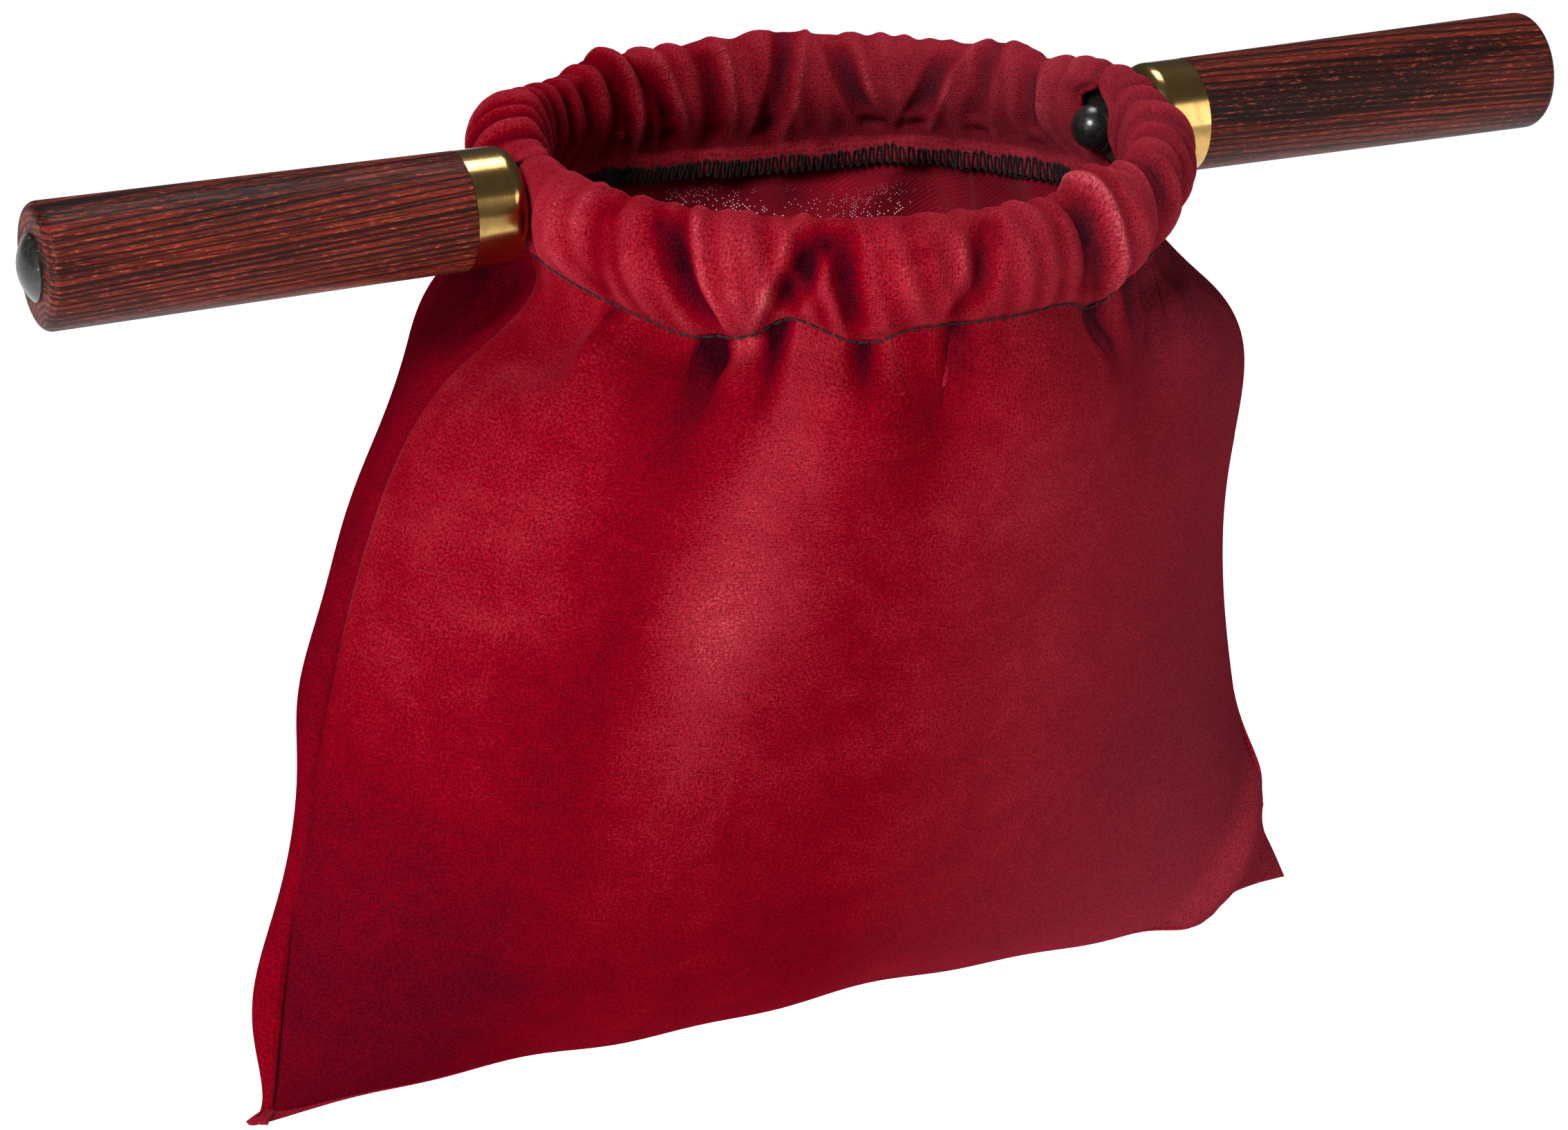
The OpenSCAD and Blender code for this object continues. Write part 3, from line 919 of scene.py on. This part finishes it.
def fold_corner(points, from_seam, from_bottom, sign):
    """Flattens the right bottom corner into an ear that is bent back behind a rounded fold."""
    e = from_seam[None, :] / (27 * MM) + from_bottom[:, None] / (38 * MM)
    flat = smooth((1.04 - e) / 0.2)
    middle = 6 * MM * smooth((1 - e) / 0.5) - 6 * MM * np.exp(-(((e - 1.3) / 0.28) ** 2))
    y = points[..., 1]
    points[..., 1] = y * (1 - flat) + sign * 0.8 * MM * flat + middle
    points[..., 2] += 3 * MM * smooth((1 - e) / 0.8)
    return points


def build_panel(rows, front, pile, back_side):
    """Turns one panel's part of the simulated wall into a finished sheet with its gathered casing."""
    name = "front" if front else "back"
    columns = np.arange(COLS, RING + 1) % RING if front else np.arange(0, COLS + 1)
    m = 3
    wall = finer(finer(rows[:, columns], m, 0), m, 1)
    degrees = np.linspace(0, 180, wall.shape[1]) + (180 if front else 0)
    r_sewn, z_sewn = sewn_line(degrees)
    turn = np.radians(degrees)
    sewn = np.stack([r_sewn * np.cos(turn), r_sewn * np.sin(turn), z_sewn], 1)
    flat_v = np.linspace(0, WALL, len(wall))
    below = WALL - flat_v
    wall += (sewn - wall[-1])[None] * smooth(1 - below / 0.034)[:, None, None]
    n = soft_normals(wall)
    swell = 6.5 * MM * (0.2 + 0.8 * np.abs(np.sin(turn))) * (1 if front else 0.7)
    wall += n * (smooth(below / 0.014) * smooth((0.11 - below) / 0.09))[:, None, None] * swell[None, :, None]
    pressed = np.zeros(wall.shape[:2])
    for i, under in enumerate(below):
        if under < 0.07:
            pressed[i] = fold_depth(degrees, 0, under)
            wall[i] -= n[i] * (pressed[i] * (0.8 if front else 0.15) * smooth(under / (7 * MM)))[:, None]
    count = round(CASING_ROUND / MM)
    casing, deeps = make_casing(degrees, count)
    n = soft_normals(wall)
    hem = []
    steps = np.array([0.25, 0.5, 0.75, 1.0])
    for k in steps:
        row = -1 - round(HEM * k / (WALL / (len(wall) - 1)))
        hem.append(wall[row] - n[row] * (LAYER_GAP + 0.7 * MM * k))
    fine = np.concatenate([wall, casing, hem])
    deeps = np.concatenate([pressed, deeps, np.zeros((len(steps), len(degrees)))])
    over_hoop = CASING_ROUND * np.arange(1, count + 1) / count
    flat_v = np.r_[flat_v, WALL + over_hoop, WALL + CASING_ROUND + HEM * steps]
    flat_u = np.linspace(0, PANEL_W, fine.shape[1])
    top = slice(len(wall) + 1, len(wall) + count - 1)
    fine[top] = part_at_bolts(clear_of_ferrules(fine[top]), -1 if front else 1)
    # the stitches draw the cloth in
    groove = np.exp(-(((flat_v - WALL) / (2.0 * MM)) ** 2))[:, None, None]
    n = soft_normals(fine)
    fine -= n * groove * 1.0 * MM
    # the edges roll inwards at the side seams
    edge = np.minimum(flat_u, PANEL_W - flat_u)
    below = smooth((WALL - flat_v) / (8 * MM))[:, None]
    roll = np.exp(-((edge / (2.2 * MM)) ** 2))[None, :] * below
    fine -= n * roll[..., None] * 1.3 * MM
    low = smooth((0.045 - flat_v) / 0.045)[:, None]
    x = fine[..., 0]
    fine[..., 2] += low * (0.9 * MM * np.sin(x / 0.017 + 0.6) + 0.5 * MM * np.sin(x / 0.0073))
    if not front:
        away = (PANEL_W - flat_u)[None, :] / (10 * MM)
        z = fine[..., 2]
        bulge = 8 * np.exp(-(((z + 0.192) / 0.026) ** 2)) + 3.5 * np.exp(-(((z + 0.114) / 0.018) ** 2))
        fine[..., 0] -= bulge * MM * away * np.exp(1 - away)
    from_seam = PANEL_W - flat_u if front else flat_u
    fine = fold_corner(fine, from_seam, flat_v, -1 if front else 1)
    sides = [pile, back_side]
    piece = cloth_piece(name + "_velvet", fine, flat_u, flat_v, CLOTH_T, sides, [name + "_panel"])
    # Painted shade: the pile is darkened in the fold valleys. Painted highlight: it is lightened on the low
    # ridges beside them.
    painted_fold_shade = np.clip(deeps / (4.5 * MM), 0, 1) ** 1.3
    painted_ridge_highlight = np.clip(deeps / (2 * MM), -1, 0)
    nap_with_painted_light = pile_and_painted_shade_of(flat_u, flat_v, front) - 0.9 * painted_fold_shade - 0.26 * painted_ridge_highlight
    set_attribute(piece, "nap_with_painted_light", np.tile(nap_with_painted_light.ravel(), 2))
    # Where the knit's pinholes show painted light shining through: the middle of the back wall, seen from
    # inside.
    thin = smooth((WALL - 0.012 - flat_v) / 0.02) * smooth((flat_v - 0.07) / 0.05)
    across = np.linspace(0, 1, fine.shape[1])
    across = np.exp(-(((across - 0.5) / 0.12) ** 2)) + 0.7 * np.exp(-(((across - 0.31) / 0.03) ** 2))
    thin = np.outer(thin, across) * (0.0 if front else 1.0)
    set_attribute(piece, "thin", np.tile(thin.ravel(), 2))
    return piece, fine


def stitch_paths(line, normal, pitch, length, lift):
    """Separate stitches along a line, each sunk into the cloth at both ends."""
    along = np.r_[0, np.cumsum(np.linalg.norm(np.diff(line, axis=0), axis=1))]

    def at(s):
        p = np.array([np.interp(s, along, line[:, k]) for k in range(3)])
        n = np.array([np.interp(s, along, normal[:, k]) for k in range(3)])
        return p, n / np.linalg.norm(n)

    paths = []
    start = pitch
    while start + length < along[-1] - pitch:
        path = []
        for q in np.linspace(0, 1, 7):
            p, n = at(start + q * length)
            path.append(p + n * (lift * math.sin(math.pi * q) ** 0.5 - 0.25 * MM))
        paths.append(path)
        start += pitch
    return paths


# One overlock loop: parts of the pitch, of the height, and of the thread's stand-off
LOOP = [
    (0.0, -0.06, 1.6), (0.06, 0.35, 1.2), (0.14, 0.9, 1.0), (0.34, 1.02, 1.4),
    (0.54, 0.92, 1.0), (0.66, 0.4, 1.1), (0.8, -0.04, 1.6),
]


def overlock_paths(edge, up, normal, pitch, height):
    """Threads over a raw edge: a zig-zag on each face and a chain along the edge itself."""
    along = np.r_[0, np.cumsum(np.linalg.norm(np.diff(edge, axis=0), axis=1))]

    def at(s, rise, out):
        s = min(max(s, 0), along[-1])
        p = np.array([np.interp(s, along, edge[:, k]) for k in range(3)])
        u = np.array([np.interp(s, along, up[:, k]) for k in range(3)])
        n = np.array([np.interp(s, along, normal[:, k]) for k in range(3)])
        return p + u / np.linalg.norm(u) * rise + n / np.linalg.norm(n) * out

    count = int(along[-1] / pitch)
    face, reverse, chain = [], [], []
    rng = np.random.default_rng(11)
    for k in range(count):
        s = k * pitch
        h = height * (1 + rng.uniform(-0.08, 0.08))
        lean = pitch * rng.uniform(-0.08, 0.08)
        o = 0.3 * MM
        for a, b, c in LOOP:
            face.append(at(s + a * pitch + lean * b, b * h, o * c))
            reverse.append(at(s + (a + 0.4) * pitch, b * h * 0.92, -CLOTH_T - o * c))
        for a in (0.0, 0.25, 0.5, 0.75):
            w = 2 * math.pi * a
            rise = -0.35 * MM + 0.45 * MM * math.sin(w)
            out = -CLOTH_T / 2 + 0.75 * MM * math.cos(w)
            chain.append(at(s + a * pitch, rise, out))
    return [face, reverse, chain]


def build_bag():
    rows = calm(simulate_bag()[: ROW_STITCH + 1])
    pile, back_side, black = velvet(), velvet_back(), thread()
    m = 3
    for front in (True, False):
        name = "front" if front else "back"
        piece, fine = build_panel(rows, front, pile, back_side)
        n = normals(fine)
        row = m * ROW_STITCH
        paths = stitch_paths(fine[row], n[row], 3.0 * MM, 2.9 * MM, 0.5 * MM)
        stitches = tubes(name + "_topstitches", paths, 0.3 * MM, black, [name + "_topstitch"])
        up = fine[-2] - fine[-1]
        paths = overlock_paths(fine[-1], up, n[-2], 2.1 * MM, 4.6 * MM)
        locks = tubes(name + "_overlock_thread", paths, 0.26 * MM, black, [name + "_overlock"])
        if front:
            sides = {"left": fine[m * 6 : row + 1, 0], "right": fine[m * 16 : row + 1, -1]}
            foot = fine[0, m * 6 : -m * 13]
    for side, line in sides.items():
        inward = np.array([1.0 if side == "left" else -1.0, 0.0, 0.0])
        build_allowance(side + "_seam_allowance", line[::2], inward, pile, black, side + "_side_seam")
    upward = np.array([0.0, 0.0, 1.0])
    build_allowance("bottom_seam_allowance", foot[::2], upward, pile, black, "bottom_seam")


def build_allowance(name, line, inward, pile, black, replaced):
    """The two sewn layers inside a seam, with overlock thread on their raw edges."""
    line = np.array(line)
    depths = np.array([2.4, 4.5, 6.7, 9.0]) * MM
    half = 0.95 * MM
    sheet = np.stack([line + inward * d for d in depths])
    facing = np.array([0.0, -1.0, 0.0])
    front = sheet + facing * half
    grid = front if normals(front)[0, 0] @ facing > 0 else front[:, ::-1]
    flat_u = np.linspace(0, 0.2, grid.shape[1])
    piece = cloth_piece(name, grid, flat_u, depths, 2 * half, [pile, pile], [replaced])
    set_attribute(piece, "nap_with_painted_light", np.full(len(piece.data.vertices), 0.3))
    edge = grid[-1]
    up = grid[-2] - grid[-1]
    n = normals(grid)[-1]
    paths = overlock_paths(edge, up, n, 2.6 * MM, 4.2 * MM)
    tubes(name.replace("allowance", "overlock"), paths, 0.24 * MM, black)


place_camera()
studio()
steel, gold = black_steel(), brass()
dress(nodes["hoop"], steel)
for side, pith, tilt, seed in (
    ("left", (0.0, 0.016, 0.010), (0.0, 0.05, 0.03), 3.1),
    ("right", (0.0, 0.018, 0.012), (0.0, -0.045, -0.035), 7.7),
):
    dress(nodes[side + "_grip"], wood(side + "_grip_wood", pith, tilt, seed))
    dress(nodes[side + "_ferrule"], gold)
    for part in ("bolt", "dome_nut", "lock_washer"):
        dress(nodes[f"{side}_{part}"], steel)
build_bag()
